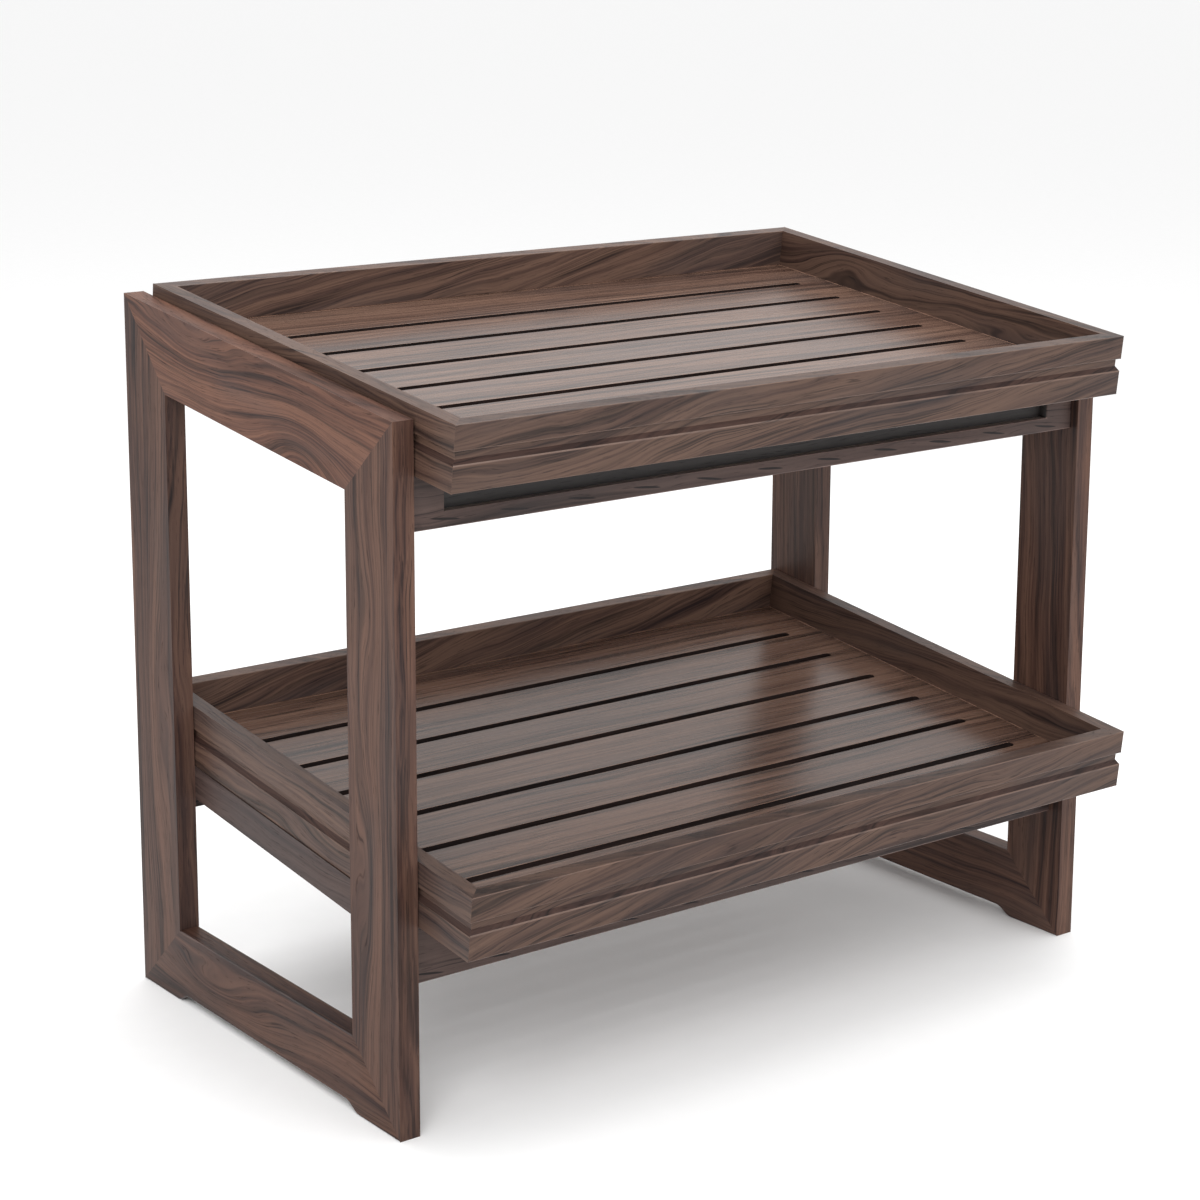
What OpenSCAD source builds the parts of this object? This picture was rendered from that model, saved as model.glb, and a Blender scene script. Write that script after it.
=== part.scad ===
// Two-tier walnut luggage rack.
// Two mitred side frames are tied together by four aprons. A bearer runs along the
// inside of each frame under each tray, and the two slotted trays lift off the
// bearers' pegs. The top rails, the bearers and both trays fall towards the front.
// X runs across the rack, -Y is its front and Z is up. The origin is at floor level,
// in the middle of the rack's outline.

/* [Side frames] */
// Width over the outer faces of the two side frames
frame_w = 720; // [560:1:900]
// Depth of a side frame, front to back
frame_d = 400; // [330:1:500]
// Height of a side frame at its front edge
front_h = 548; // [450:1:660]
// Fall of the top rails and trays towards the front, in degrees
fall = 6.5; // [2:0.5:9]
// Thickness of the frame boards
board_t = 18; // [15:0.1:24]
// Width of the front and rear stiles
stile_w = 65; // [52:1:80]
// Width of the top rails
top_rail_w = 67; // [55:1:82]
// Width of the bottom rails
bottom_rail_w = 63; // [50:1:78]
// Height of the cut that leaves a foot at each end of a bottom rail
relief_h = 7; // [3:0.5:12]
// Length of a foot along the floor
foot_len = 58; // [42:1:80]
// Run of the curved shoulder between a foot and the cut
relief_run = 19; // [10:1:30]

/* [Aprons and bearers] */
// Thickness of the aprons
apron_t = 18; // [15:0.5:24]
// Height of the upper aprons on their outer face
upper_apron_h = 43; // [38:1:60]
// Height of the lower aprons on their outer face
lower_apron_h = 53; // [38:1:65]
// Setback of the upper aprons from the frames' front and rear edges
upper_setback = 8; // [4:1:14]
// Setback of the lower aprons from the frames' front and rear edges
lower_setback = 16; // [4:1:18]
// Height of the long recess in the upper front apron
recess_h = 20; // [12:1:24]
// Depth of the recess
recess_depth = 8; // [6:0.5:13]
// Height of the solid edge below the recess
recess_sill = 12.4; // [8:0.2:16]
// Length of solid apron at each end of the recess
recess_end = 31; // [22:1:60]
// Width of a bearer
bearer_w = 22; // [20:0.5:30]
// Height of a bearer
bearer_h = 28; // [26:0.5:36]

/* [Trays] */
// Height of the tray walls
tray_h = 51; // [48:0.5:64]
// Thickness of the tray walls
wall_t = 14; // [13:0.5:18]
// Depth of the deck below the rim
deck_drop = 33; // [32.5:0.5:36]
// Thickness of the deck
deck_t = 10; // [6:0.5:10.5]
// Depth of the housing that the deck sits in, inside each wall
deck_tongue = 5; // [3:0.5:5]
// Number of slots in a deck
slot_count = 6; // [3:1:8]
// Width of a slot
slot_w = 8; // [5:0.5:12]
// Solid deck between a side wall and the slots' ends
slot_margin = 34; // [20:1:80]
// Distance from the front or rear wall to the middle of the first slot
slot_inset = 68; // [30:1:90]
// Height of the plain band above the groove round a tray
upper_band = 20; // [12:0.5:22]
// Height of the groove's flat back
groove_back = 6.5; // [4:0.5:9]
// Height of the groove's sloping sill
groove_sill = 4; // [2:0.5:5]
// Depth of the groove
groove_depth = 3; // [1:0.5:3.5]
// Overhang of the upper tray's rim in front of the frames
upper_overhang = 50; // [20:1:65]
// Overhang of the lower tray's rim in front of the frames
lower_overhang = 69; // [20:1:100]
// Distance of the upper tray's rear rim in front of the frames' rear edge
upper_rear_inset = 13; // [8:1:30]
// Distance of the lower tray's rear rim in front of the frames' rear edge
lower_rear_inset = 6; // [6:1:30]
// Gap between the upper tray and each side frame
upper_side_gap = 2; // [1:0.5:7]
// Gap between the lower tray and each side frame
lower_side_gap = 1; // [1:0.5:7]
// Height of the upper tray's rim above the frames' top edge
rim_proud = 9; // [0:0.5:14]
// Height of the lower tray's front rim above the floor
lower_rim_z = 209; // [190:1:240]

/* [Joinery] */
// Diameter of the dowels and the tray pegs
dowel_d = 8; // [6:0.5:8]
// Length of the dowels across the mitres
mitre_dowel_len = 36; // [24:1:40]
// Depth of the apron dowels in a stile
stile_dowel_depth = 11; // [8:0.5:12]
// Depth of the apron dowels in an apron
apron_dowel_depth = 15; // [12:0.5:18]
// Spacing of the two dowels at an apron's end
apron_dowel_gap = 21; // [18:1:22]
// Distance from a frame's front or rear edge to the nearest tray peg
peg_inset = 120; // [110:1:130]
// Depth of a tray peg in its bearer
peg_depth = 12; // [8:0.5:14]
// Height of a tray peg above its bearer
peg_proud = 6; // [3:0.5:6]
// Radial clearance of dowels and pegs in their holes
fit_gap = 0.05; // [0.02:0.01:0.1]
// Gap between a resting tray and its bearers
rest_gap = 0.3; // [0.2:0.1:0.6]
// Diameter of the bearer screws' shanks
screw_d = 4; // [3:0.5:4.5]
// Diameter of the bearer screws' heads
screw_head_d = 8; // [6:0.5:8]
// Depth of a bearer screw in the side frame
screw_grip = 13; // [8:0.5:13]
// Distance from a frame's front or rear edge to the upper bearers' end screws
upper_screw_inset = 90; // [86:1:96]
// Distance from a frame's front or rear edge to the lower bearers' screws
lower_screw_inset = 46; // [44:1:48]
// Vertical spacing of a lower bearer's screw pair
screw_pair_gap = 13; // [12:0.5:14]
// Thickness of the splines in the tray corners
spline_t = 3; // [2:0.5:3]
// Width of the splines across the mitre
spline_w = 10; // [6:0.5:10]
// Height of the splines
spline_h = 26; // [16:1:27]

/* [Hidden] */

$fn = 48;
over = 1;
LEFT = -1;
RIGHT = 1;
FRONT = 0;
REAR = 1;
UPPER = 0;
LOWER = 1;

walnut = [0.30, 0.20, 0.15];
walnut_edge = [0.36, 0.25, 0.19];
walnut_deck = [0.33, 0.23, 0.18];
beech = [0.78, 0.62, 0.42];
zinc = [0.72, 0.72, 0.70];

// Side frame outline in the YZ plane
front_y = (max(upper_overhang, lower_overhang) - frame_d) / 2;
rear_y = front_y + frame_d;
rise = tan(fall);
inner_w = frame_w - 2 * board_t;
function top_z(y) = front_h + (y - front_y) * rise;
function rail_under_z(y) = top_z(y) - top_rail_w / cos(fall);
front_top = [[front_y, top_z(front_y)], [front_y + stile_w, rail_under_z(front_y + stile_w)]];
rear_top = [[rear_y, top_z(rear_y)], [rear_y - stile_w, rail_under_z(rear_y - stile_w)]];
front_foot = [[front_y, 0], [front_y + stile_w, bottom_rail_w]];
rear_foot = [[rear_y, 0], [rear_y - stile_w, bottom_rail_w]];
dowel_places = [0.35, 0.7];
dowel_end_gap = 0.5;
shoulder_steps = 8;

// Trays: each list is in the order UPPER, LOWER
overhang = [upper_overhang, lower_overhang];
rear_inset = [upper_rear_inset, lower_rear_inset];
side_gap = [upper_side_gap, lower_side_gap];
tray_front_y = [for (i = [UPPER, LOWER]) front_y - overhang[i]];
tray_front_z = [top_z(tray_front_y[UPPER]) + rim_proud / cos(fall), lower_rim_z];
tray_w = [for (i = [UPPER, LOWER]) inner_w - 2 * side_gap[i]];
tray_len = [for (i = [UPPER, LOWER]) (frame_d + overhang[i] - rear_inset[i]) / cos(fall)];
function under_z(i, y) = tray_front_z[i] + (y - tray_front_y[i]) * rise - tray_h / cos(fall);
function support_z(i, y) = under_z(i, y) - rest_gap / cos(fall);

// Aprons and bearers
setback = [upper_setback, lower_setback];
apron_h = [upper_apron_h, lower_apron_h];
function apron_y(i, end) = end == FRONT ? front_y + setback[i] : rear_y - setback[i] - apron_t;
function apron_face_y(i, end) = end == FRONT ? apron_y(i, end) : apron_y(i, end) + apron_t;
function apron_z(i, end) = support_z(i, apron_face_y(i, end)) - apron_h[i];
function bearer_mid_z(i, y) = support_z(i, y) - bearer_h / 2 / cos(fall);
upper_screws = [front_y + upper_screw_inset, (front_y + rear_y) / 2, rear_y - upper_screw_inset];
lower_screws = [front_y + lower_screw_inset, rear_y - lower_screw_inset];
upper_screw_sites = [for (y = upper_screws) [y, bearer_mid_z(UPPER, y)]];
lower_screw_sites = [
    for (y = lower_screws)
        for (s = [-1, 1]) [y, bearer_mid_z(LOWER, y) + s * screw_pair_gap / 2]
];
screw_sites = [upper_screw_sites, lower_screw_sites];
peg_sites = [front_y + peg_inset, rear_y - peg_inset];
peg_head_gap = 1;
screw_countersink = screw_head_d / 2 - screw_d / 2;
screw_tip = 4;
screw_clear = 0.25;
screw_cross_w = 1.2;
screw_cross_depth = 1.6;
deck_side_gap = 0.5;
apron_dowel_low = 10;
spline_drop = 4;
spline_centre = 8.5 / 14;

// Extrudes a YZ outline along X
module board_yz(x, t) {
    translate([x, 0, 0])
        rotate([90, 0, 90])
            linear_extrude(t)
                children();
}

// Places children in a tray's own frame: Y up the slope, Z square to the deck, rim top at 0
module on_slope(i) {
    translate([0, tray_front_y[i], tray_front_z[i]])
        rotate([fall, 0, 0])
            children();
}

// Side frames

function side_x(side) = side == LEFT ? -frame_w / 2 : frame_w / 2 - board_t;

module mitre_dowels(side, corner, grow) {
    outer = corner[0];
    run = corner[1] - corner[0];
    for (f = dowel_places)
        translate([side_x(side) + board_t / 2, outer[0] + f * run[0], outer[1] + f * run[1]])
            rotate([atan2(run[1], run[0]), 0, 0])
                cylinder(
                    d = dowel_d + 2 * grow,
                    h = mitre_dowel_len + (grow > 0 ? 2 * dowel_end_gap : 0),
                    center = true
                );
}

module stile(side, end) {
    corners = end == FRONT ? [front_foot, front_top] : [rear_foot, rear_top];
    color(walnut)
        difference() {
            board_yz(side_x(side), board_t)
                polygon([corners[0][0], corners[1][0], corners[1][1], corners[0][1]]);
            for (c = corners) mitre_dowels(side, c, fit_gap);
            for (i = [UPPER, LOWER]) apron_dowels(i, side, end, fit_gap);
            bearer_screws(LOWER, side, 0);
        }
}

module top_rail(side) {
    color(walnut)
        difference() {
            board_yz(side_x(side), board_t)
                polygon([front_top[0], rear_top[0], rear_top[1], front_top[1]]);
            for (c = [front_top, rear_top]) mitre_dowels(side, c, fit_gap);
            bearer_screws(UPPER, side, 0);
        }
}

// Half of the cut between the feet, from the end of a foot to the middle of the rail
function shoulder(y, dir) = [
    for (k = [0:shoulder_steps])
        [y + dir * relief_run * k / shoulder_steps,
         relief_h * (1 - cos(180 * k / shoulder_steps)) / 2]
];

module bottom_rail(side) {
    front_curve = shoulder(front_y + foot_len, 1);
    rear_curve = shoulder(rear_y - foot_len, -1);
    rear_points = [for (k = [shoulder_steps:-1:0]) rear_curve[k]];
    color(walnut)
        difference() {
            board_yz(side_x(side), board_t)
                polygon(concat(
                    [front_foot[0]], front_curve, rear_points,
                    [rear_foot[0], rear_foot[1], front_foot[1]]
                ));
            for (c = [front_foot, rear_foot]) mitre_dowels(side, c, fit_gap);
        }
}

module frame_dowels(side) {
    color(beech)
        for (c = [front_foot, front_top, rear_foot, rear_top]) mitre_dowels(side, c, 0);
}

// Aprons

module apron_dowels(i, side, end, grow) {
    face = side * inner_w / 2;
    slack = grow > 0 ? dowel_end_gap : 0;
    start = side == LEFT ? face - stile_dowel_depth - slack : face - apron_dowel_depth - slack;
    for (k = [0, 1])
        translate([
            start,
            apron_y(i, end) + apron_t / 2,
            apron_z(i, end) + apron_dowel_low + k * apron_dowel_gap
        ])
            rotate([0, 90, 0])
                cylinder(
                    d = dowel_d + 2 * grow,
                    h = stile_dowel_depth + apron_dowel_depth + 2 * slack
                );
}

module apron(i, end) {
    y0 = apron_y(i, end);
    y1 = y0 + apron_t;
    z0 = apron_z(i, end);
    difference() {
        board_yz(-inner_w / 2, inner_w)
            polygon([[y0, z0], [y1, z0], [y1, support_z(i, y1)], [y0, support_z(i, y0)]]);
        for (side = [LEFT, RIGHT]) apron_dowels(i, side, end, fit_gap);
    }
}

module upper_front_apron() {
    color(walnut_edge)
        difference() {
            apron(UPPER, FRONT);
            translate([
                recess_end - inner_w / 2,
                apron_y(UPPER, FRONT) - over,
                apron_z(UPPER, FRONT) + recess_sill
            ])
                cube([inner_w - 2 * recess_end, recess_depth + over, recess_h]);
        }
}

module apron_dowel_set(i) {
    color(beech)
        for (side = [LEFT, RIGHT])
            for (end = [FRONT, REAR]) apron_dowels(i, side, end, 0);
}

// Bearers, with the screws that hold them to the side frames

module bearer_screw(side, grow) {
    len = bearer_w + screw_grip;
    rotate([0, side * 90, 0]) {
        cylinder(d = screw_d + 2 * grow, h = len - screw_tip);
        translate([0, 0, len - screw_tip])
            cylinder(d1 = screw_d + 2 * grow, d2 = 1, h = screw_tip);
        cylinder(
            d1 = screw_head_d + 2 * grow,
            d2 = screw_d + 2 * grow,
            h = screw_countersink
        );
    }
}

module bearer_screws(i, side, grow) {
    for (site = screw_sites[i])
        translate([side * (inner_w / 2 - bearer_w), site[0], site[1]])
            bearer_screw(side, grow);
}

module bearer(i, side) {
    y0 = apron_y(i, FRONT) + apron_t;
    y1 = apron_y(i, REAR);
    drop = bearer_h / cos(fall);
    x = side == LEFT ? -inner_w / 2 : inner_w / 2 - bearer_w;
    color(walnut_edge)
        difference() {
            board_yz(x, bearer_w)
                polygon([
                    [y0, support_z(i, y0) - drop], [y1, support_z(i, y1) - drop],
                    [y1, support_z(i, y1)], [y0, support_z(i, y0)]
                ]);
            bearer_screws(i, side, screw_clear);
            tray_pegs(i, side, fit_gap);
        }
}

module screw_cross(side) {
    rotate([0, side * 90, 0])
        for (a = [0, 90])
            rotate([0, 0, a])
                translate([-screw_head_d / 4, -screw_cross_w / 2, -over])
                    cube([screw_head_d / 2, screw_cross_w, screw_cross_depth + over]);
}

module bearer_screw_set(i) {
    color(zinc)
        for (side = [LEFT, RIGHT])
            for (site = screw_sites[i])
                translate([side * (inner_w / 2 - bearer_w), site[0], site[1]])
                    difference() {
                        bearer_screw(side, 0);
                        screw_cross(side);
                    }
}

// Pegs that locate a tray on its bearers, at the middle of its side walls
function peg_x(i, side) = side * (tray_w[i] / 2 - wall_t / 2);

module tray_pegs(i, side, grow) {
    low = grow > 0 ? dowel_end_gap : 0;
    high = grow > 0 ? peg_head_gap : 0;
    on_slope(i)
        for (y = peg_sites)
            translate([
                peg_x(i, side),
                (y - tray_front_y[i]) / cos(fall),
                -tray_h - rest_gap - peg_depth - low
            ])
                cylinder(
                    d = dowel_d + 2 * grow,
                    h = peg_depth + rest_gap + peg_proud + low + high
                );
}

module tray_peg_set(i) {
    color(beech)
        for (side = [LEFT, RIGHT]) tray_pegs(i, side, 0);
}

// Tray walls: a moulded section, mitred at the corners, with a housing for the deck

sill_drop = upper_band + groove_back;
wall_section = [
    [0, 0], [wall_t, 0],
    [wall_t, -deck_drop], [wall_t - deck_tongue, -deck_drop],
    [wall_t - deck_tongue, -deck_drop - deck_t], [wall_t, -deck_drop - deck_t],
    [wall_t, -tray_h], [0, -tray_h],
    [0, -sill_drop - groove_sill], [groove_depth, -sill_drop],
    [groove_depth, -upper_band], [0, -upper_band]
];

// A wall of a given length along X with its outer face at Y = 0
module wall_bar(len) {
    intersection() {
        translate([-len / 2, 0, 0])
            rotate([90, 0, 90])
                linear_extrude(len)
                    polygon(wall_section);
        translate([0, 0, -tray_h - over])
            linear_extrude(tray_h + 2 * over)
                polygon([
                    [-len / 2, 0], [len / 2, 0],
                    [len / 2 - wall_t, wall_t], [wall_t - len / 2, wall_t]
                ]);
    }
}

// Corner splines stand upright in the mitres, above the deck
module splines(i, grow) {
    reach = wall_t * spline_centre;
    for (sx = [LEFT, RIGHT])
        for (sy = [0, 1])
            translate([
                sx * (tray_w[i] / 2 - reach),
                sy == 0 ? reach : tray_len[i] - reach,
                -spline_drop - spline_h / 2
            ])
                rotate([0, 0, sx * (sy == 0 ? -1 : 1) * 45])
                    cube([spline_w + grow, spline_t + grow, spline_h + grow], center = true);
}

module tray_end(i, end) {
    color(walnut)
        on_slope(i)
            difference() {
                translate([0, end == FRONT ? 0 : tray_len[i], 0])
                    rotate([0, 0, end == FRONT ? 0 : 180])
                        wall_bar(tray_w[i]);
                splines(i, fit_gap);
            }
}

module tray_side(i, side) {
    color(walnut)
        difference() {
            on_slope(i)
                difference() {
                    translate([side * tray_w[i] / 2, tray_len[i] / 2, 0])
                        rotate([0, 0, side * 90])
                            wall_bar(tray_len[i]);
                    splines(i, fit_gap);
                }
            tray_pegs(i, side, fit_gap);
        }
}

module slot(len) {
    translate([0, 0, -over]) {
        translate([-len / 2 + slot_w / 2, -slot_w / 2, 0])
            cube([len - slot_w, slot_w, deck_t + 2 * over]);
        for (s = [-1, 1])
            translate([s * (len - slot_w) / 2, 0, 0])
                cylinder(d = slot_w, h = deck_t + 2 * over);
    }
}

module tray_deck(i) {
    edge = wall_t - deck_tongue + deck_side_gap;
    deck_w = tray_w[i] - 2 * edge;
    slot_len = tray_w[i] - 2 * (wall_t + slot_margin);
    first = wall_t + slot_inset;
    pitch = (tray_len[i] - 2 * first) / (slot_count - 1);
    color(walnut_deck)
        on_slope(i)
            translate([0, 0, -deck_drop - deck_t])
                difference() {
                    translate([-deck_w / 2, edge, 0])
                        cube([deck_w, tray_len[i] - 2 * edge, deck_t]);
                    for (k = [0:slot_count - 1])
                        translate([0, first + k * pitch, 0])
                            slot(slot_len);
                }
}

module tray_splines(i) {
    color(beech)
        on_slope(i)
            splines(i, 0);
}

stile(LEFT, FRONT);  // left_front_stile
stile(LEFT, REAR);  // left_rear_stile
top_rail(LEFT);  // left_top_rail
bottom_rail(LEFT);  // left_bottom_rail
stile(RIGHT, FRONT);  // right_front_stile
stile(RIGHT, REAR);  // right_rear_stile
top_rail(RIGHT);  // right_top_rail
bottom_rail(RIGHT);  // right_bottom_rail
frame_dowels(LEFT);  // left_frame_dowels
frame_dowels(RIGHT);  // right_frame_dowels
upper_front_apron();
color(walnut_edge) apron(UPPER, REAR);  // upper_rear_apron
color(walnut_edge) apron(LOWER, FRONT);  // lower_front_apron
color(walnut_edge) apron(LOWER, REAR);  // lower_rear_apron
apron_dowel_set(UPPER);  // upper_apron_dowels
apron_dowel_set(LOWER);  // lower_apron_dowels
bearer(UPPER, LEFT);  // upper_left_bearer
bearer(UPPER, RIGHT);  // upper_right_bearer
bearer(LOWER, LEFT);  // lower_left_bearer
bearer(LOWER, RIGHT);  // lower_right_bearer
bearer_screw_set(UPPER);  // upper_bearer_screws
bearer_screw_set(LOWER);  // lower_bearer_screws
tray_peg_set(UPPER);  // upper_tray_pegs
tray_peg_set(LOWER);  // lower_tray_pegs
tray_end(UPPER, FRONT);  // upper_tray_front
tray_end(UPPER, REAR);  // upper_tray_back
tray_side(UPPER, LEFT);  // upper_tray_left
tray_side(UPPER, RIGHT);  // upper_tray_right
tray_deck(UPPER);  // upper_tray_deck
tray_splines(UPPER);  // upper_tray_splines
tray_end(LOWER, FRONT);  // lower_tray_front
tray_end(LOWER, REAR);  // lower_tray_back
tray_side(LOWER, LEFT);  // lower_tray_left
tray_side(LOWER, RIGHT);  // lower_tray_right
tray_deck(LOWER);  // lower_tray_deck
tray_splines(LOWER);  // lower_tray_splines
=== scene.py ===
import math

import bmesh
import bpy
from mathutils import Matrix, Vector


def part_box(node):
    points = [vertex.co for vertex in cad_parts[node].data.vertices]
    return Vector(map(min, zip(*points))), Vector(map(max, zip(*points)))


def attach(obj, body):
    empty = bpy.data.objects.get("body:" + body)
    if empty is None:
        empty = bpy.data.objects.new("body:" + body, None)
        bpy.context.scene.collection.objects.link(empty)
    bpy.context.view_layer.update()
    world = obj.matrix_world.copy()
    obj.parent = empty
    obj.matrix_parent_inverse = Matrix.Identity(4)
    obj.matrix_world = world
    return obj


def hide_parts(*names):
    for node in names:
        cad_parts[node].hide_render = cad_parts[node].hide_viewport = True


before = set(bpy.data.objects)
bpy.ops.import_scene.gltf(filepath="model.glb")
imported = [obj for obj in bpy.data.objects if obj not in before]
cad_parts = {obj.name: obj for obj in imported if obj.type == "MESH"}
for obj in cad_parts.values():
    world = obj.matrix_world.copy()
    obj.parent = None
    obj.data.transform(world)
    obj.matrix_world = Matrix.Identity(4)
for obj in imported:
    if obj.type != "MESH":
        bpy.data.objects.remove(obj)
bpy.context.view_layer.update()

# ---------------------------------------------------------------------------
# Side frames
# Each side frame is four 18 mm walnut boards, mitred at the corners and held
# by hidden dowels. Their arrises are eased and the whole is satin lacquered.
# ---------------------------------------------------------------------------
fall = math.radians(6.5)
frame_round = 0.0012
frame_grain = Vector((0, 0, 1))
slope_grain = Vector((0, math.cos(fall), math.sin(fall)))
slope_up = Vector((0, -math.sin(fall), math.cos(fall)))
across_grain = Vector((1, 0, 0))
depth_grain = Vector((0, 1, 0))


class Wire:
    """A node's socket that can be used in Python sums."""

    def __init__(self, drawing, socket):
        self.drawing = drawing
        self.socket = socket

    def __add__(self, other):
        return self.drawing.maths("ADD", self, other)

    def __radd__(self, other):
        return self.drawing.maths("ADD", other, self)

    def __sub__(self, other):
        return self.drawing.maths("SUBTRACT", self, other)

    def __rsub__(self, other):
        return self.drawing.maths("SUBTRACT", other, self)

    def __mul__(self, other):
        return self.drawing.maths("MULTIPLY", self, other)

    def __rmul__(self, other):
        return self.drawing.maths("MULTIPLY", other, self)

    def __truediv__(self, other):
        return self.drawing.maths("DIVIDE", self, other)

    def __rtruediv__(self, other):
        return self.drawing.maths("DIVIDE", other, self)

    def __pow__(self, other):
        return self.drawing.maths("POWER", self, other)

    def __rpow__(self, other):
        return self.drawing.maths("POWER", other, self)


class Drawing:
    """A tree of nodes, and the calls that add to it."""

    def __init__(self, tree):
        self.tree = tree

    def node(self, kind, settings=None, inputs=None, output=0):
        """Adds a node and returns one of its outputs, or a list of several."""
        made = self.tree.nodes.new(kind)
        for key, value in (settings or {}).items():
            if key == "stops":
                self.set_stops(made.color_ramp, value)
            else:
                setattr(made, key, value)
        for key, value in (inputs or {}).items():
            self.feed(made.inputs[key], value)
        if isinstance(output, tuple):
            return [Wire(self, made.outputs[key]) for key in output]
        return Wire(self, made.outputs[output])

    def feed(self, socket, value):
        """Links a wire or a list of wires to a socket, or sets the socket's value."""
        if isinstance(value, list):
            for wire in value:
                self.tree.links.new(wire.socket, socket)
        elif isinstance(value, Wire):
            self.tree.links.new(value.socket, socket)
        else:
            socket.default_value = value

    def set_stops(self, ramp, stops):
        while len(ramp.elements) < len(stops):
            ramp.elements.new(0.5)
        for element, (place, colour) in zip(ramp.elements, stops):
            element.position = place
            element.color = (*colour, 1)

    def maths(self, operation, a, b=0.0):
        return self.node("ShaderNodeMath", {"operation": operation}, {0: a, 1: b})

    def vector(self, x, y, z):
        return self.node("ShaderNodeCombineXYZ", None, {"X": x, "Y": y, "Z": z})


class Sheet(Drawing):
    """The nodes of one material."""

    def __init__(self, name):
        self.material = bpy.data.materials.new(name)
        self.material.use_nodes = True
        super().__init__(self.material.node_tree)
        self.shader = self.tree.nodes["Principled BSDF"]

    def smooth(self, value, low, high):
        return self.node(
            "ShaderNodeMapRange",
            {"interpolation_type": "SMOOTHSTEP"},
            {"Value": value, "From Min": low, "From Max": high},
        )

    def mix(self, amount, a, b):
        """A blend of two colours, each a wire or three numbers."""
        a, b = [colour if isinstance(colour, Wire) else (*colour, 1) for colour in (a, b)]
        settings = {"data_type": "RGBA", "clamp_factor": True}
        return self.node("ShaderNodeMix", settings, {0: amount, 6: a, 7: b}, output=2)

    def noise(self, vector, scale=1.0, detail=2.0, rough=0.5, twist=0.0):
        return self.node(
            "ShaderNodeTexNoise",
            {"noise_dimensions": "3D"},
            {
                "Vector": vector,
                "Scale": scale,
                "Detail": detail,
                "Roughness": rough,
                "Distortion": twist,
            },
        )


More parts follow.
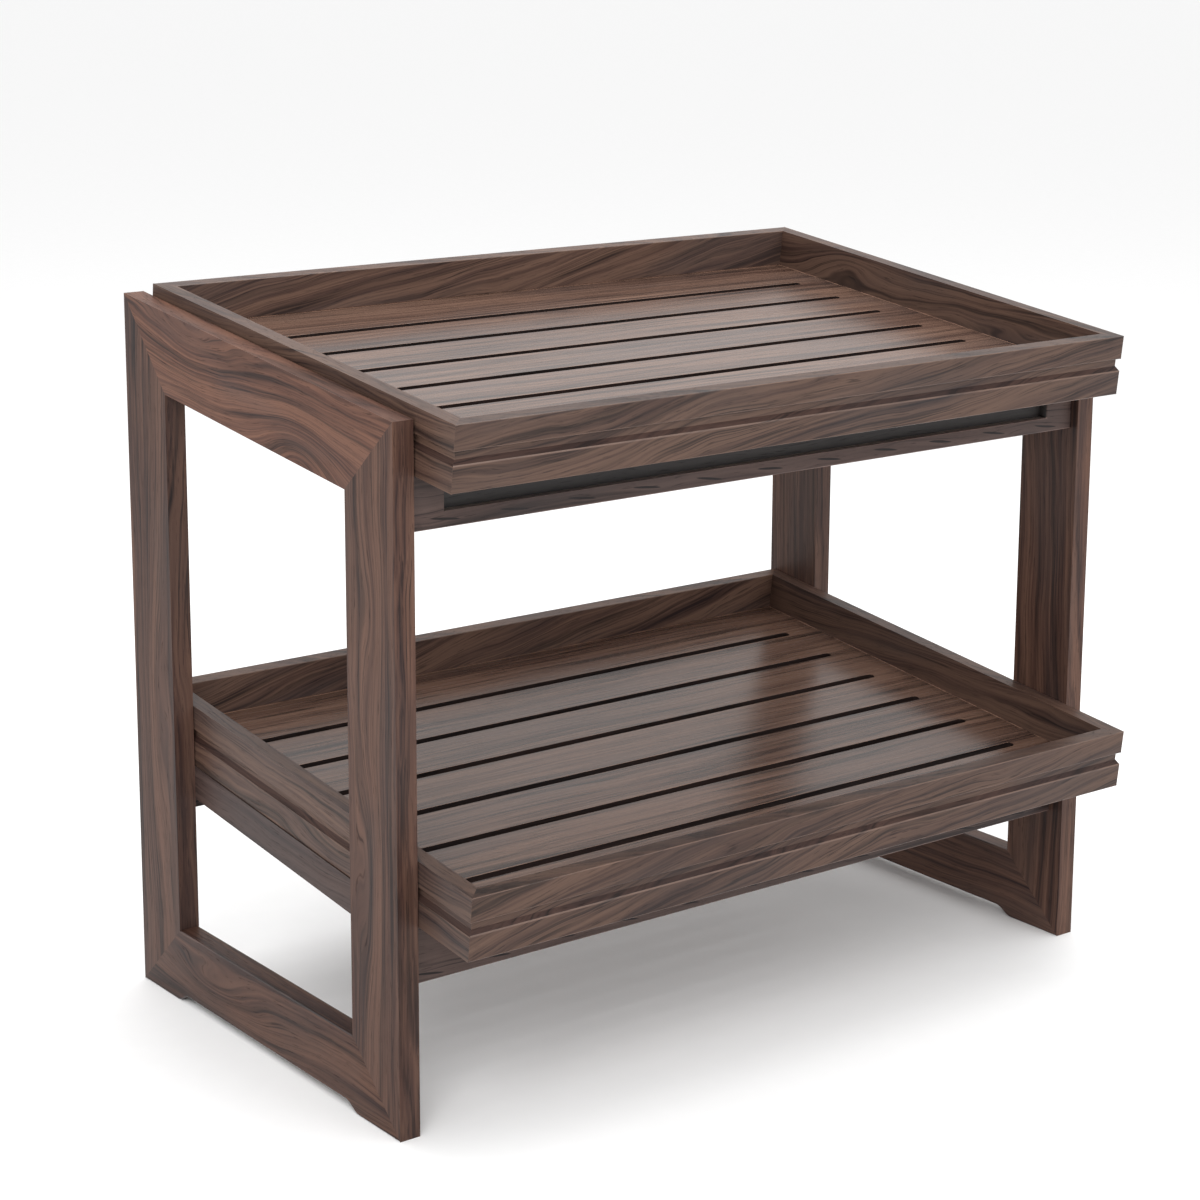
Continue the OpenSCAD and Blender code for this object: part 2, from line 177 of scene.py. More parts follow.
def lacquered_walnut(
    name, tones, ring_gap, swirl, finish, seed, knots=(), flecks=None, arris=1.8, relief=0.2
):
    """Walnut under satin lacquer. Grain runs along the piece's "grain" attribute.

    tones are the dark, middle and light browns; finish is roughness, specular and coat;
    each knot is its place along and across, its two radii, and how far it bends the rings;
    flecks are the spacing, place across, half length and half height of a row of dark marks;
    arris is how bright the painted highlight on the eased arrises is beside the palest brown, and
    below one it paints them as dark lines of painted shade;
    relief is how far the pores stand open under the lacquer.
    """
    deep, mid, pale = tones
    sheet = Sheet(name)
    grain = sheet.node("ShaderNodeAttribute", {"attribute_name": "grain"}, output=1)
    along, wide, thick = sheet.node("ShaderNodeSeparateXYZ", None, {0: grain}, (0, 1, 2))

    # Growth rings, bent by the slow wander of the trunk and by knots
    wander = sheet.noise(sheet.vector(along * 2.6 + seed, wide * 9, thick * 9), 1, 2, 0.5)
    drift = sheet.noise(sheet.vector(along * 8 + seed, wide * 24, thick * 24), 1, 2, 0.55)
    bend = (wander - 0.5) * swirl + (drift - 0.5) * (swirl * 0.3)
    for knot_along, knot_wide, reach, girth, push in knots:
        away = ((along - knot_along) / reach) ** 2.0 + ((wide - knot_wide) / girth) ** 2.0
        bend = bend + sheet.maths("EXPONENT", away * -1.0) * push
    rings = (wide + thick * 0.55 + bend) / ring_gap
    coarse = sheet.noise(sheet.vector(rings * 0.30, along * 0.9, seed), 1, 2, 0.5)
    bands = sheet.noise(sheet.vector(rings * 0.95, along * 1.6, seed + 3.0), 1, 2, 0.55)
    lines = sheet.noise(sheet.vector(rings * 3.0, along * 4, seed + 7.0), 1, 2, 0.5)
    figure = coarse * 0.36 + bands * 0.36 + lines * 0.28
    colour = sheet.node(
        "ShaderNodeValToRGB",
        {"stops": [(0.36, deep), (0.45, mid), (0.56, pale), (0.64, mid)]},
        {"Fac": figure},
    )

    # Purple-black streaks and thin dark veins that follow the rings
    dark = tuple(c * 0.42 for c in deep)
    streak = sheet.noise(sheet.vector(rings * 0.7, along * 2.0, seed + 11.0), 1, 2, 0.5)
    colour = sheet.mix(sheet.smooth(streak, 0.54, 0.68) * 0.7, colour, dark)
    vein = sheet.noise(sheet.vector(rings * 1.1, along * 1.2, seed + 17.0), 1, 1, 0.4)
    vein = sheet.smooth(sheet.maths("ABSOLUTE", vein - 0.5), 0.030, 0.004)
    patch = sheet.noise(sheet.vector(along * 9, wide * 30, seed + 23.0), 1, 2, 0.5)
    colour = sheet.mix(vein * sheet.smooth(patch, 0.40, 0.60) * 0.75, colour, dark)

    # Open pores: short dark dashes along the grain, between pale fibres
    pore = sheet.noise(sheet.vector(along * 46, (wide + bend) * 900, thick * 900), 1, 2, 0.6)
    pore = sheet.smooth(pore, 0.58, 0.70)
    fibre = sheet.noise(sheet.vector(along * 13, (wide + bend) * 480, thick * 480), 1, 2, 0.5)
    colour = sheet.mix((fibre - 0.5) * 1.5 + 0.08, colour, tuple(c * 1.3 for c in pale))
    colour = sheet.mix(pore * 0.5, colour, dark)

    # A row of short leaf-shaped marks left by the veneer's ripple
    if flecks:
        spacing, place, half_length, half_height = flecks
        half = spacing * 0.5
        reach = sheet.node("ShaderNodeMath", {"operation": "WRAP"}, {0: along, 1: half, 2: -half})
        sag = sheet.noise(sheet.vector(along * 11, seed, 0.0), 1, 1, 0.5)
        rise = wide - place + reach * 0.13 + (sag - 0.5) * 0.006
        shape = (reach / half_length) ** 2.0 + (rise / half_height) ** 2.0
        colour = sheet.mix(sheet.smooth(shape, 1.1, 0.6), colour, dark)

    # Grey cast of the stain, in soft patches
    cast = sheet.noise(sheet.vector(along * 5, wide * 22, thick * 22), 1, 2, 0.5)
    grey = tuple(sum(mid) / 3 * k for k in (1.02, 0.92, 0.98))
    colour = sheet.mix(sheet.smooth(cast, 0.42, 0.72) * 0.3, colour, grey)

    # Eased arrises, painted paler as painted highlights, or as painted dark lines where arris is
    # below one, in patches, under a fuller coat
    edge = sheet.node("ShaderNodeAttribute", {"attribute_name": "arris"}, output=2)
    arris_patches = sheet.noise(sheet.vector(along * 22, wide * 60, thick * 60), 1, 2, 0.5)
    arris_painted_light = edge * sheet.smooth(arris_patches, 0.30, 0.60)
    colour = sheet.mix(arris_painted_light * 0.75, colour, tuple(c * arris for c in pale))

    roughness, specular, coat = finish
    sheet.feed(sheet.shader.inputs["Base Color"], colour)
    rough = roughness + (figure - 0.5) * 0.16 + pore * (relief * 0.8)
    sheet.feed(sheet.shader.inputs["Roughness"], rough)
    sheet.shader.inputs["Specular IOR Level"].default_value = specular
    sheet.feed(sheet.shader.inputs["Coat Weight"], coat + edge * 0.5)
    sheet.shader.inputs["Coat Roughness"].default_value = 0.22
    height = 0.5 - pore * 0.5 + (fibre - 0.5) * 0.28 + (figure - 0.5) * 0.2
    bump = sheet.node(
        "ShaderNodeBump", None, {"Height": height, "Strength": relief, "Distance": 0.0004}
    )
    sheet.feed(sheet.shader.inputs["Normal"], bump)
    return sheet.material


def ease_edges(mesh, grain, size, corner_run=None, highlight_strips=()):
    """Rounds the arrises that run with the grain, and marks the rounded faces.

    Joint edges stay crisp, except outer corners that run along corner_run. Each strip in the last
    argument is a place, a direction and a width: a thin strip of the surface, marked in the same
    way for a painted highlight.
    """
    weld = 1e-6
    shortest = 1e-5
    slackest = math.cos(math.radians(35))
    work = bmesh.new()
    work.from_mesh(mesh)
    bmesh.ops.remove_doubles(work, verts=work.verts, dist=weld)
    bmesh.ops.dissolve_limit(
        work, angle_limit=math.radians(0.5), verts=work.verts, edges=work.edges
    )
    rounded = work.faces.layers.float.new("arris")
    # Each pass has a direction, a size, the least fold that is eased, and a number of facets
    passes = [(grain, size, math.radians(25), 3)]
    if corner_run:
        passes.append((corner_run, size * 0.4, math.radians(100), 2))
    for run_along, offset, fold, steps in passes:
        chosen = []
        for edge in work.edges:
            run = edge.verts[1].co - edge.verts[0].co
            if run.length < shortest or len(edge.link_faces) != 2:
                continue
            if edge.calc_face_angle_signed(0) < fold:
                continue
            if abs(run.normalized().dot(run_along)) > slackest:
                chosen.append(edge)
        made = bmesh.ops.bevel(
            work,
            geom=chosen,
            offset=offset,
            segments=steps,
            profile=0.5,
            affect="EDGES",
            clamp_overlap=True,
        )
        for face in made["faces"]:
            face[rounded] = 1.0
    bmesh.ops.triangulate(work, faces=[f for f in work.faces if len(f.verts) > 4])
    for place, way, width in highlight_strips:
        for reach in (0, width):
            bmesh.ops.bisect_plane(
                work,
                geom=work.verts[:] + work.edges[:] + work.faces[:],
                plane_co=place + way * reach,
                plane_no=way,
            )
        for face in work.faces:
            if 0 < (face.calc_center_median() - place).dot(way) < width:
                face[rounded] = 1.0
    bmesh.ops.triangulate(work, faces=[f for f in work.faces if len(f.verts) > 4])
    work.to_mesh(mesh)
    work.free()


def lay_grain(mesh, origin, grain, across, shift):
    """Stores each point's place along, across and through its board."""
    through = grain.cross(across)
    field = mesh.attributes.new("grain", "FLOAT_VECTOR", "POINT")
    for point, slot in zip(mesh.vertices, field.data):
        offset = point.co - origin
        slot.vector = (
            offset.dot(grain) + shift[0],
            offset.dot(across) + shift[1],
            offset.dot(through) + shift[2],
        )


def board(
    node,
    body,
    material,
    grain,
    across,
    origin,
    shift,
    size,
    tilt=0,
    corner_run=None,
    mesh=None,
    highlight_strips=(),
):
    """A lacquered board in place of its plain CAD node. Its grain may run off by tilt degrees."""
    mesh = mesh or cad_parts[node].data.copy()
    mesh.materials.clear()
    ease_edges(mesh, grain, size, corner_run, highlight_strips)
    for face in mesh.polygons:
        face.use_smooth = True
    mesh.set_sharp_from_angle(angle=math.radians(40))
    piece = bpy.data.objects.new(node + "_board", mesh)
    bpy.context.scene.collection.objects.link(piece)
    even = piece.modifiers.new("flat_faces", "WEIGHTED_NORMAL")
    even.keep_sharp = True
    even.weight = 100
    depsgraph = bpy.context.evaluated_depsgraph_get()
    settled = bpy.data.meshes.new_from_object(piece.evaluated_get(depsgraph))
    piece.modifiers.clear()
    piece.data = settled
    turn = Matrix.Rotation(math.radians(tilt), 3, grain.cross(across))
    lay_grain(settled, origin, turn @ grain, turn @ across, shift)
    settled.materials.clear()
    settled.materials.append(material)
    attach(piece, body)
    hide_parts(node)
    return piece


# Dark, middle and light browns of the upright and the sloping boards
stile_tones = ((0.014, 0.0076, 0.0078), (0.051, 0.0245, 0.0185), (0.112, 0.0580, 0.0400))
rail_tones = ((0.020, 0.0088, 0.0080), (0.080, 0.0335, 0.0225), (0.158, 0.0740, 0.0470))
stile_finish = (0.46, 0.16, 0.0)
stile_walnut = lacquered_walnut(
    "stile_walnut",
    stile_tones,
    ring_gap=0.0068,
    swirl=0.034,
    finish=stile_finish,
    seed=0.0,
    knots=[
        (0.20, 0.036, 0.10, 0.018, 0.020),
        (0.40, 0.030, 0.07, 0.016, 0.016),
        (1.95, 0.034, 0.12, 0.018, 0.018),
        (3.68, 0.030, 0.09, 0.020, 0.022),
    ],
    # Below one, the stiles' eased arrises are painted as dark lines: painted shade
    arris=0.12,
)
rail_walnut = lacquered_walnut(
    "rail_walnut",
    rail_tones,
    ring_gap=0.0068,
    swirl=0.046,
    finish=stile_finish,
    seed=0.0,
    knots=[(0.125, 0.060, 0.060, 0.030, 0.034), (0.30, 0.016, 0.09, 0.03, -0.020)],
)

for side in ("left", "right"):
    low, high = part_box(side + "_front_stile")
    face_x = low[0] if side == "left" else high[0]
    rear_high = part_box(side + "_rear_stile")[1]
    start = 0.0 if side == "left" else 7.0
    for count, (name, grain, across, origin) in enumerate(
        (
            ("front_stile", frame_grain, depth_grain, (face_x, low[1], 0)),
            ("rear_stile", frame_grain, -depth_grain, (face_x, rear_high[1], 0)),
            ("bottom_rail", depth_grain, frame_grain, (face_x, low[1], 0)),
        )
    ):
        board(
            side + "_" + name,
            "rack_frame",
            stile_walnut,
            grain,
            across,
            origin=Vector(origin),
            shift=(start + 1.7 * count, 0.0, 0.0),
            size=frame_round,
        )
    board(
        side + "_top_rail",
        "rack_frame",
        rail_walnut,
        slope_grain,
        -slope_up,
        origin=Vector((face_x, low[1], high[2])),
        shift=(start * 0.02, 0.0, 0.0),
        size=frame_round,
    )

# ---------------------------------------------------------------------------
# Aprons
# Level walnut boards between the side frames, dowelled into the stiles. The
# upper front one has a long shallow recess under the tray's overhang.
# ---------------------------------------------------------------------------
apron_round = 0.0008
recess_lip = 0.0012
recess_deep = 0.0085
recess_end = 0.030
facing_up = 0.7
apron_tones = ((0.022, 0.0130, 0.0122), (0.046, 0.0275, 0.0240), (0.074, 0.0470, 0.0400))
apron_walnut = lacquered_walnut(
    "apron_walnut",
    apron_tones,
    ring_gap=0.0110,
    swirl=0.040,
    finish=(0.46, 0.2, 0.0),
    seed=21.0,
    flecks=(0.062, 0.0060, 0.0140, 0.0010),
    arris=2.6,
)
# Near black for the recess's back and ends: painted shade under the tray's overhang
recess_stain = lacquered_walnut(
    "recess_stain",
    ((0.0140, 0.0118, 0.0118), (0.0215, 0.0180, 0.0175), (0.0310, 0.0262, 0.0250)),
    ring_gap=0.0110,
    swirl=0.040,
    finish=(0.55, 0.3, 0.0),
    seed=21.0,
)
# Pale for the recess's sill: painted light against the shade of the recess
recess_sill = lacquered_walnut(
    "recess_sill",
    ((0.150, 0.1200, 0.1100), (0.210, 0.1650, 0.1450), (0.260, 0.2100, 0.1850)),
    ring_gap=0.0110,
    swirl=0.040,
    finish=(0.55, 0.3, 0.0),
    seed=21.0,
)
for count, name in enumerate(
    ("upper_front_apron", "upper_rear_apron", "lower_front_apron", "lower_rear_apron")
):
    low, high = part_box(name)
    apron = board(
        name,
        "rack_frame",
        apron_walnut,
        across_grain,
        frame_grain,
        origin=Vector((0, low[1], low[2])),
        shift=(2.3 * count, 0.0, 0.1 * count),
        size=apron_round,
    )
    if name == "upper_front_apron":
        # The recess is painted near black as painted shade under the tray, and its sill is
        # painted as a paler strip of painted light
        apron.data.materials.append(recess_stain)
        apron.data.materials.append(recess_sill)
        reach = high[0] - recess_end
        for face in apron.data.polygons:
            depth = face.center.y - low[1]
            if recess_lip < depth < recess_deep and abs(face.center.x) < reach:
                face.material_index = 2 if face.normal.z > facing_up else 1

# ---------------------------------------------------------------------------
# Bearers
# A walnut batten inside each side frame carries each side of a tray. It
# follows the tray's fall and is screwed to the frame from inside.
# ---------------------------------------------------------------------------
bearer_round = 0.0010
bearer_walnut = lacquered_walnut(
    "bearer_walnut",
    apron_tones,
    ring_gap=0.0085,
    swirl=0.045,
    finish=(0.46, 0.2, 0.0),
    seed=33.0,
)
for count, name in enumerate(
    ("upper_left_bearer", "upper_right_bearer", "lower_left_bearer", "lower_right_bearer")
):
    low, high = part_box(name)
    board(
        name,
        "rack_frame",
        bearer_walnut,
        slope_grain,
        slope_up,
        origin=Vector(low),
        shift=(7.1 + 1.9 * count, 0.02 * count, 0.4),
        size=bearer_round,
    )

# ---------------------------------------------------------------------------
# Tray walls
# Four grooved walnut lengths per tray, mitred at the corners and splined. The
# groove round the outside is the finger grip for lifting the tray off.
# ---------------------------------------------------------------------------
tray_round = 0.0007
groove_lip = 0.0008
groove_deep = 0.0035
least_slope, most_slope = 0.5, 0.97
wall_tones = ((0.015, 0.0085, 0.0082), (0.050, 0.0275, 0.0215), (0.096, 0.0560, 0.0400))
wall_walnut = {}
# How much paler or darker each wall is painted than the tones above: painted light and shade, by
# how each wall's seen faces are lit
wall_painted_light = {"front": 0.95, "back": 1.4, "left": 1.16, "right": 1.15}
curl = [(3.40, 0.23, 0.07, 0.020, 0.020), (3.63, 0.28, 0.06, 0.018, -0.022)]
for side, light_lift in wall_painted_light.items():
    wall_walnut[side] = lacquered_walnut(
        "tray_walnut_" + side,
        [tuple(part * light_lift for part in tone) for tone in wall_tones],
        ring_gap=0.0058,
        swirl=0.056,
        finish=(0.42, 0.2, 0.0),
        seed=43.0,
        knots=curl if side == "right" else (),
        arris=1.35 / light_lift,
    )
# Darker, redder walnut for the groove's sill: painted shade under the upper band, with painted
# highlights on its arrises
groove_sill_painted_shade = lacquered_walnut(
    "groove_walnut",
    ((0.010, 0.0048, 0.0044), (0.028, 0.0135, 0.0110), (0.050, 0.0260, 0.0200)),
    ring_gap=0.0058,
    swirl=0.056,
    finish=(0.5, 0.15, 0.0),
    seed=43.0,
    arris=2.6,
)
# Degrees by which the figure of each wall runs off its length
wall_tilts = {"front": 8, "back": 13, "left": -2, "right": -5}
for count, tray in enumerate(("upper_tray", "lower_tray")):
    for place, (side, tilt) in enumerate(wall_tilts.items()):
        name = tray + "_" + side
        low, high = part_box(name)
        lengthwise = across_grain if side in ("front", "back") else slope_grain
        wall = board(
            name,
            tray,
            wall_walnut[side],
            lengthwise,
            slope_up,
            origin=Vector(low),
            shift=(3.7 * count + 1.1 * place, 0.31 * count + 0.07 * place, 0.2),
            size=tray_round,
            tilt=tilt,
            corner_run=slope_up,
        )
        # The groove's sloping sill is painted as a darker, redder strip: painted shade under the
        # upper band
        wall.data.materials.append(groove_sill_painted_shade)
        outward = slope_grain if lengthwise == across_grain else across_grain
        outward = outward * (1 if side in ("back", "right") else -1)
        reach = max(point.co.dot(outward) for point in wall.data.vertices)
        for face in wall.data.polygons:
            inset = reach - face.center.dot(outward)
            slope = face.normal.dot(outward)
            if groove_lip < inset < groove_deep and least_slope < slope < most_slope:
                face.material_index = 1

# ---------------------------------------------------------------------------
# Tray decks
# One walnut-faced panel per tray, housed in the walls, with six long slots
# that stop short of the side walls. The top is lacquered a little glossier.
# ---------------------------------------------------------------------------
deck_thick = 0.010
deck_round = 0.0006
slot_count = 6
slot_wide = 0.008
slot_margin = 0.034
slot_inset = 0.068
wall_thick = 0.014
tray_high = 0.051
slot_end_steps = 8
just_under_half = 0.4999
seam_weld = 1e-6
highlight_strip_wide = 0.0012
upright = 0.3
deck_walnut = lacquered_walnut(
    "deck_walnut",
    ((0.020, 0.0105, 0.0090), (0.078, 0.0415, 0.0300), (0.160, 0.0930, 0.0660)),
    ring_gap=0.0075,
    swirl=0.022,
    finish=(0.26, 0.24, 0.20),
    seed=65.0,
    arris=3.0,
    relief=0.06,
)
# Near black for the slots' sides: painted shade inside the slots
slot_stain = lacquered_walnut(
    "slot_stain",
    ((0.006, 0.0035, 0.0032), (0.011, 0.0062, 0.0055), (0.018, 0.0100, 0.0085)),
    ring_gap=0.0075,
    swirl=0.030,
    finish=(0.6, 0.1, 0.0),
    seed=65.0,
)


class Recipe(Drawing):
    """A Geometry Nodes tree with named inputs."""

    def __init__(self, name):
        super().__init__(bpy.data.node_groups.new(name, "GeometryNodeTree"))
        self.tree.is_modifier = True
        self.tree.interface.new_socket(
            "Geometry", in_out="OUTPUT", socket_type="NodeSocketGeometry"
        )
        self.given = self.tree.nodes.new("NodeGroupInput")
        self.result = self.tree.nodes.new("NodeGroupOutput")

    def ask(self, name, kind="Float"):
        self.tree.interface.new_socket(
            name, in_out="INPUT", socket_type="NodeSocket" + kind
        )
        return Wire(self, self.given.outputs[name])

    def end(self, geometry, material):
        real = self.node("GeometryNodeRealizeInstances", None, {"Geometry": geometry})
        done = self.node(
            "GeometryNodeSetMaterial", None, {"Geometry": real, "Material": material}
        )
        self.feed(self.result.inputs[0], done)

    def make(self, name, values):
        """The tree's result for these input values, as a plain mesh."""
        holder = bpy.data.objects.new(name + "_recipe", bpy.data.meshes.new(name))
        bpy.context.scene.collection.objects.link(holder)
        maker = holder.modifiers.new("recipe", "NODES")
        maker.node_group = self.tree
        for item in self.tree.interface.items_tree:
            if item.in_out == "INPUT":
                maker[item.identifier] = values[item.name]
        depsgraph = bpy.context.evaluated_depsgraph_get()
        mesh = bpy.data.meshes.new_from_object(holder.evaluated_get(depsgraph))
        bpy.data.objects.remove(holder)
        return mesh


# A flat panel about the origin, pierced by a row of round-ended slots
panel = Recipe("slotted_panel")
panel_outline = panel.node(
    "GeometryNodeCurvePrimitiveQuadrilateral",
    None,
    {"Width": panel.ask("Panel Width"), "Height": panel.ask("Panel Depth")},
)
panel_slot_width = panel.ask("Slot Width")
slot_outline = panel.node(
    "GeometryNodeFilletCurve",
    {"mode": "POLY"},
    {
        "Curve": panel.node(
            "GeometryNodeCurvePrimitiveQuadrilateral",
            None,
            {"Width": panel.ask("Slot Length"), "Height": panel_slot_width},
        ),
        "Radius": panel_slot_width * just_under_half,
        "Count": panel.ask("End Steps", "Int"),
    },
)
panel_slots = panel.ask("Slot Count", "Int")
panel_pitch = panel.ask("Slot Pitch")
first_slot = (panel_slots - 1.0) * (panel_pitch * -0.5)
slot_places = panel.node(
    "GeometryNodeMeshLine",
    None,
    {
        "Count": panel_slots,
        "Start Location": panel.vector(0.0, first_slot, 0.0),
        "Offset": panel.vector(0.0, panel_pitch, 0.0),
    },
)
slot_row = panel.node(
    "GeometryNodeRealizeInstances",
    None,
    {
        "Geometry": panel.node(
            "GeometryNodeInstanceOnPoints",
            None,
            {"Points": slot_places, "Instance": slot_outline},
        )
    },
)
underside = panel.node(
    "GeometryNodeFillCurve",
    {"mode": "TRIANGLES"},
    {
        "Curve": panel.node(
            "GeometryNodeJoinGeometry", None, {"Geometry": [panel_outline, slot_row]}
        )
    },
)
panel_thick = panel.ask("Thickness")
raised = panel.node(
    "GeometryNodeExtrudeMesh",
    {"mode": "FACES"},
    {"Mesh": underside, "Offset": panel.vector(0.0, 0.0, panel_thick), "Individual": False},
)
base = panel.node("GeometryNodeFlipFaces", None, {"Mesh": underside})
closed = panel.node(
    "GeometryNodeMergeByDistance",
    None,
    {
        "Geometry": panel.node("GeometryNodeJoinGeometry", None, {"Geometry": [raised, base]}),
        "Distance": seam_weld,
    },
)
centred = panel.node(
    "GeometryNodeTransform",
    None,
    {
        "Geometry": closed,
        "Translation": panel.vector(0.0, 0.0, panel_thick * -0.5),
    },
)
panel.end(centred, panel.ask("Material", "Material"))

for count, tray in enumerate(("upper_tray", "lower_tray")):
    low, high = [Vector(corner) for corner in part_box(tray + "_deck")]
    front_low, front_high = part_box(tray + "_front")
    back_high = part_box(tray + "_back")[1]
    panel_deep = (high.y - low.y - deck_thick * math.sin(fall)) / math.cos(fall)
    tray_deep = (back_high[1] - front_low[1] - tray_high * math.sin(fall)) / math.cos(fall)
    tray_wide = front_high[0] - front_low[0]
    slotted = panel.make(
        tray + "_panel",
        {
            "Panel Width": high.x - low.x,
            "Panel Depth": panel_deep,
            "Thickness": deck_thick,
            "Slot Count": slot_count,
            "Slot Width": slot_wide,
            "Slot Length": tray_wide - 2 * (wall_thick + slot_margin),
            "Slot Pitch": (tray_deep - 2 * (wall_thick + slot_inset)) / (slot_count - 1),
            "End Steps": slot_end_steps,
            "Material": deck_walnut,
        },
    )
    middle = (low + high) / 2
    slotted.transform(Matrix.Translation(middle) @ Matrix.Rotation(fall, 4, "X"))
    # A thin strip along the joints with the side and rear walls is marked for a painted highlight
    # where the deck meets the walls
    deck = board(
        tray + "_deck",
        tray,
        deck_walnut,
        across_grain,
        slope_grain,
        origin=Vector((0, low.y, low.z)),
        shift=(9.1 * count, 0.5 * count, 0.2),
        size=deck_round,
        mesh=slotted,
        highlight_strips=[
            (middle + way * (reach - highlight_strip_wide), way, highlight_strip_wide)
            for way, reach in (
                (across_grain, tray_wide / 2 - wall_thick),
                (-across_grain, tray_wide / 2 - wall_thick),
                (slope_grain, tray_deep / 2 - wall_thick),
            )
        ],
    )
    # The slots' sides are painted dark: painted shade inside the narrow slots
    deck.data.materials.append(slot_stain)
    for face in deck.data.polygons:
        if abs(face.normal.dot(slope_up)) < upright:
            face.material_index = 1

# ---------------------------------------------------------------------------
# Bearer screws
# Zinc-plated countersunk steel screws with a cross recess, driven from inside
# the rack through each bearer into its side frame.
# ---------------------------------------------------------------------------
screw_long = 0.035
screw_head = 0.008
screw_shank = 0.004
screw_point = 0.004
thread_pitch = 0.0014
thread_deep = 0.0006
thread_start = 0.010
cross_wide = 0.0012
cross_deep = 0.0016
upper_screw_inset = 0.090
lower_screw_inset = 0.046
screw_pair_gap = 0.013
screw_facets = 24
screw_rings = 150
tip_share = 0.12

zinc = Sheet("zinc_plate")
zinc_place = zinc.node("ShaderNodeTexCoord", output=3)
zinc_cloud = zinc.noise(zinc_place, 400, 3, 0.6)
zinc_scuff = zinc.noise(zinc_place, 2600, 2, 0.6)
zinc_colour = zinc.mix(zinc_cloud, (0.42, 0.43, 0.43), (0.68, 0.68, 0.66))
zinc_colour = zinc.mix(zinc.smooth(zinc_scuff, 0.58, 0.7) * 0.5, zinc_colour, (0.25, 0.25, 0.24))
zinc.feed(zinc.shader.inputs["Base Color"], zinc_colour)
zinc.feed(zinc.shader.inputs["Roughness"], 0.26 + zinc_cloud * 0.2 + zinc_scuff * 0.1)
zinc.shader.inputs["Metallic"].default_value = 1.0

# One screw is a cylinder whose radius follows a rule down its length. Rows of them
# stand on both sides, with a single screw or a vertical pair at each place
rows = Recipe("screw_rows")
length = rows.ask("Length")
blank = rows.node(
    "GeometryNodeMeshCylinder",
    None,
    {
        "Vertices": screw_facets,
        "Side Segments": screw_rings,
        "Radius": 1.0,
        "Depth": length,
    },
)
blank = rows.node(
    "GeometryNodeTransform",
    None,
    {
        "Geometry": blank,
        "Translation": rows.vector(0.0, 0.0, length * 0.5),
    },
)
spot = rows.node("GeometryNodeInputPosition")
spot_x, spot_y, down = rows.node("ShaderNodeSeparateXYZ", None, {0: spot}, (0, 1, 2))
turns = rows.maths("ARCTAN2", spot_y, spot_x) / math.tau
shank = rows.ask("Shank Diameter") * 0.5
head = rows.ask("Head Diameter") * 0.5 - down
helix = rows.maths("FRACT", down / rows.ask("Thread Pitch") - turns)
threaded = rows.maths("GREATER_THAN", down, rows.ask("Thread Start"))
cut = helix * threaded * rows.ask("Thread Depth")
taper = rows.maths("MINIMUM", (length - down) / rows.ask("Point Length") + tip_share, 1.0)
girth = rows.maths("MAXIMUM", head, (shank - cut) * taper)
shaped = rows.node(
    "GeometryNodeSetPosition",
    None,
    {
        "Geometry": blank,
        "Position": rows.vector(spot_x * girth, spot_y * girth, down),
    },
)
cross_long = rows.ask("Cross Length")
cross_bar = rows.ask("Cross Width")
cross_tall = rows.ask("Cross Depth") * 2.0
cross_bars = [
    rows.node("GeometryNodeMeshCube", None, {"Size": size})
    for size in (
        rows.vector(cross_long, cross_bar, cross_tall),
        rows.vector(cross_bar, cross_long, cross_tall),
    )
]
screw = rows.node(
    "GeometryNodeMeshBoolean",
    {"operation": "DIFFERENCE", "solver": "EXACT"},
    {"Mesh 1": shaped, "Mesh 2": cross_bars},
)
place_count = rows.ask("Places", "Int")
place_x = rows.ask("Face X")
place_y = rows.ask("First Y")
place_z = rows.ask("First Z")
next_place = rows.vector(0.0, rows.ask("Step Y"), rows.ask("Step Z"))
pair_count = rows.ask("Screws Each", "Int")
pair_gap = rows.ask("Pair Gap")
pair = rows.node(
    "GeometryNodeMeshLine",
    None,
    {
        "Count": pair_count,
        "Start Location": rows.vector(0.0, 0.0, (1.0 - pair_count) * (pair_gap * 0.5)),
        "Offset": rows.vector(0.0, 0.0, pair_gap),
    },
)
sides = []
for side in (-1, 1):
    line = rows.node(
        "GeometryNodeMeshLine",
        None,
        {
            "Count": place_count,
            "Start Location": rows.vector(place_x * side, place_y, place_z),
            "Offset": next_place,
        },
    )
    places = rows.node("GeometryNodeInstanceOnPoints", None, {"Points": line, "Instance": pair})
    places = rows.node("GeometryNodeRealizeInstances", None, {"Geometry": places})
    sides.append(
        rows.node(
            "GeometryNodeInstanceOnPoints",
            None,
            {"Points": places, "Instance": screw, "Rotation": (0.0, side * math.pi / 2, 0.0)},
        )
    )
rows.end(
    rows.node("GeometryNodeJoinGeometry", None, {"Geometry": sides}),
    rows.ask("Material", "Material"),
)

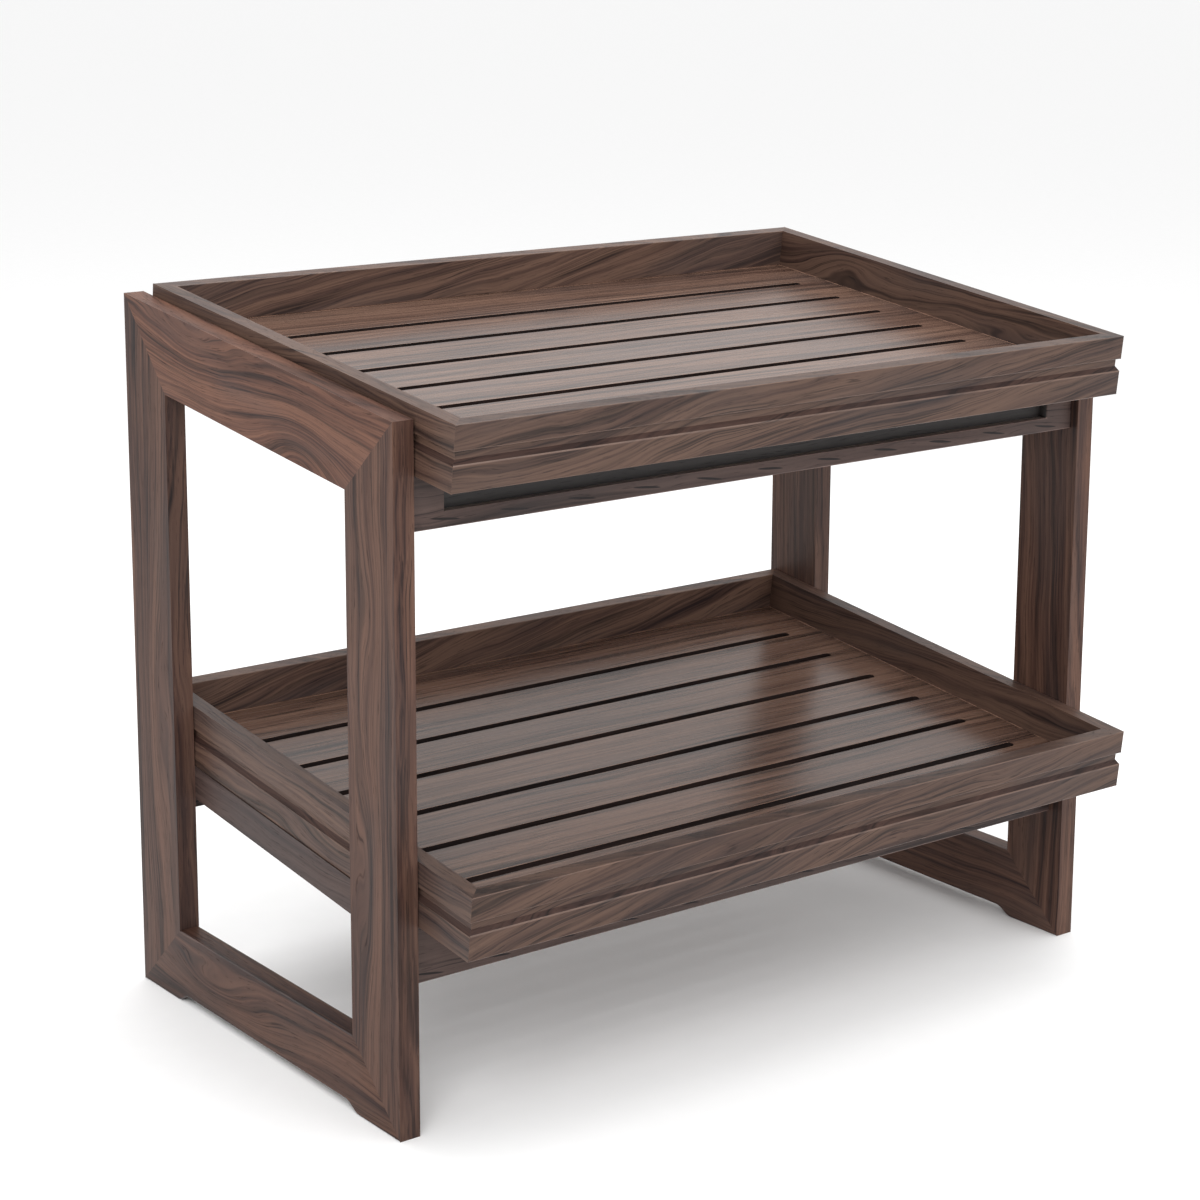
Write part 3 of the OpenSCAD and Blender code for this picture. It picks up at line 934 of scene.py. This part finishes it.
frame_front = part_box("left_front_stile")[0][1]
frame_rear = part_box("left_rear_stile")[1][1]
for tray, inset, places, each in (
    ("upper", upper_screw_inset, 3, 1),
    ("lower", lower_screw_inset, 2, 2),
):
    low, high = [Vector(corner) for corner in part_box(tray + "_right_bearer")]
    middle = (low + high) / 2
    first = frame_front + inset
    spacing = (frame_rear - inset - first) / (places - 1)
    mesh = rows.make(
        tray + "_screws",
        {
            "Length": screw_long,
            "Head Diameter": screw_head,
            "Shank Diameter": screw_shank,
            "Thread Pitch": thread_pitch,
            "Thread Start": thread_start,
            "Thread Depth": thread_deep,
            "Point Length": screw_point,
            "Cross Length": screw_head / 2,
            "Cross Width": cross_wide,
            "Cross Depth": cross_deep,
            "Places": places,
            "Face X": low.x,
            "First Y": first,
            "First Z": middle.z + (first - middle.y) * math.tan(fall),
            "Step Y": spacing,
            "Step Z": spacing * math.tan(fall),
            "Screws Each": each,
            "Pair Gap": screw_pair_gap,
            "Material": zinc.material,
        },
    )
    screws = bpy.data.objects.new(tray + "_screws", mesh)
    bpy.context.scene.collection.objects.link(screws)
    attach(screws, "rack_frame")
    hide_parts(tray + "_bearer_screws")

# ---------------------------------------------------------------------------
# Hidden joinery
# Beech dowels, corner splines and tray pegs, glued into the walnut. Only the
# pegs ever show, when a tray is lifted off its bearers.
# ---------------------------------------------------------------------------
beech = Sheet("beech")
beech_place = beech.node("ShaderNodeTexCoord", output=3)
beech_fleck = beech.noise(beech_place, 900, 3, 0.6)
beech_band = beech.noise(beech_place, 60, 2, 0.5, 1.5)
beech_colour = beech.mix(beech_band, (0.42, 0.27, 0.15), (0.58, 0.41, 0.25))
beech_colour = beech.mix(
    beech.smooth(beech_fleck, 0.58, 0.7) * 0.5, beech_colour, (0.30, 0.18, 0.10)
)
beech.feed(beech.shader.inputs["Base Color"], beech_colour)
beech.feed(beech.shader.inputs["Roughness"], 0.62 + (beech_band - 0.5) * 0.2)

for name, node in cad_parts.items():
    if name.endswith(("dowels", "pegs", "splines")):
        node.data.materials.clear()
        node.data.materials.append(beech.material)

# ---------------------------------------------------------------------------
# Floor, light and camera
# A pale seamless floor, three large soft lights from above and from the
# front, and a long lens at a little above the rack's height.
# ---------------------------------------------------------------------------
floor_reach = 30
corners = [(-1, -1), (1, -1), (1, 1), (-1, 1)]
floor_mesh = bpy.data.meshes.new("floor")
floor_mesh.from_pydata(
    [(x * floor_reach, y * floor_reach, 0) for x, y in corners], [], [(0, 1, 2, 3)]
)
floor = bpy.data.objects.new("floor", floor_mesh)
bpy.context.scene.collection.objects.link(floor)
paper = Sheet("studio_paper")
paper_place = paper.node("ShaderNodeTexCoord", output=3)
paper_tone = paper.noise(paper_place, 40, 3, 0.5)
paper.feed(
    paper.shader.inputs["Base Color"],
    paper.mix(paper_tone, (0.92, 0.92, 0.92), (0.945, 0.945, 0.945)),
)
paper.shader.inputs["Roughness"].default_value = 0.9
paper.shader.inputs["Specular IOR Level"].default_value = 0.1
floor_mesh.materials.append(paper.material)

sky = bpy.data.worlds.new("studio")
sky.use_nodes = True
sky.node_tree.nodes["Background"].inputs["Color"].default_value = (1, 1, 1, 1)
sky.node_tree.nodes["Background"].inputs["Strength"].default_value = 1.0
bpy.context.scene.world = sky

light_aim = Vector((0, 0, 0.3))


def softbox(name, place, size, power):
    lamp = bpy.data.lights.new(name, "AREA")
    lamp.shape = "RECTANGLE"
    lamp.size, lamp.size_y = size
    lamp.energy = power
    holder = bpy.data.objects.new(name, lamp)
    holder.location = place
    aim = light_aim - Vector(place)
    holder.rotation_euler = aim.to_track_quat("-Z", "Y").to_euler()
    bpy.context.scene.collection.objects.link(holder)


softbox("key_light", (-2.0, -2.2, 2.4), size=(1.8, 1.8), power=55)
softbox("top_light", (0.4, 0.4, 2.8), size=(2.4, 1.6), power=38)
softbox("front_light", (0.9, -2.6, 1.4), size=(1.8, 1.4), power=18)

camera_place = Vector((-1.4024, -1.7803, 0.9136))
camera_yaw = math.radians(37.232)
camera_pitch = math.radians(-11.982)
camera_roll = math.radians(0.258)
lens_data = bpy.data.cameras.new("camera")
lens_data.lens = 82.87
lens_data.sensor_width = 36
lens_data.shift_y = -0.10
lens_data.clip_start = 0.05
lens_data.clip_end = 100
camera = bpy.data.objects.new("camera", lens_data)
ahead = Vector(
    (
        math.sin(camera_yaw) * math.cos(camera_pitch),
        math.cos(camera_yaw) * math.cos(camera_pitch),
        math.sin(camera_pitch),
    )
)
level_right = Vector((math.cos(camera_yaw), -math.sin(camera_yaw), 0))
level_up = level_right.cross(ahead)
right = level_right * math.cos(camera_roll) + level_up * math.sin(camera_roll)
up = right.cross(ahead)
stance = Matrix((right, up, -ahead)).transposed().to_4x4()
stance.translation = camera_place
camera.matrix_world = stance
bpy.context.scene.collection.objects.link(camera)
bpy.context.scene.camera = camera
bpy.context.scene.view_settings.view_transform = "Standard"
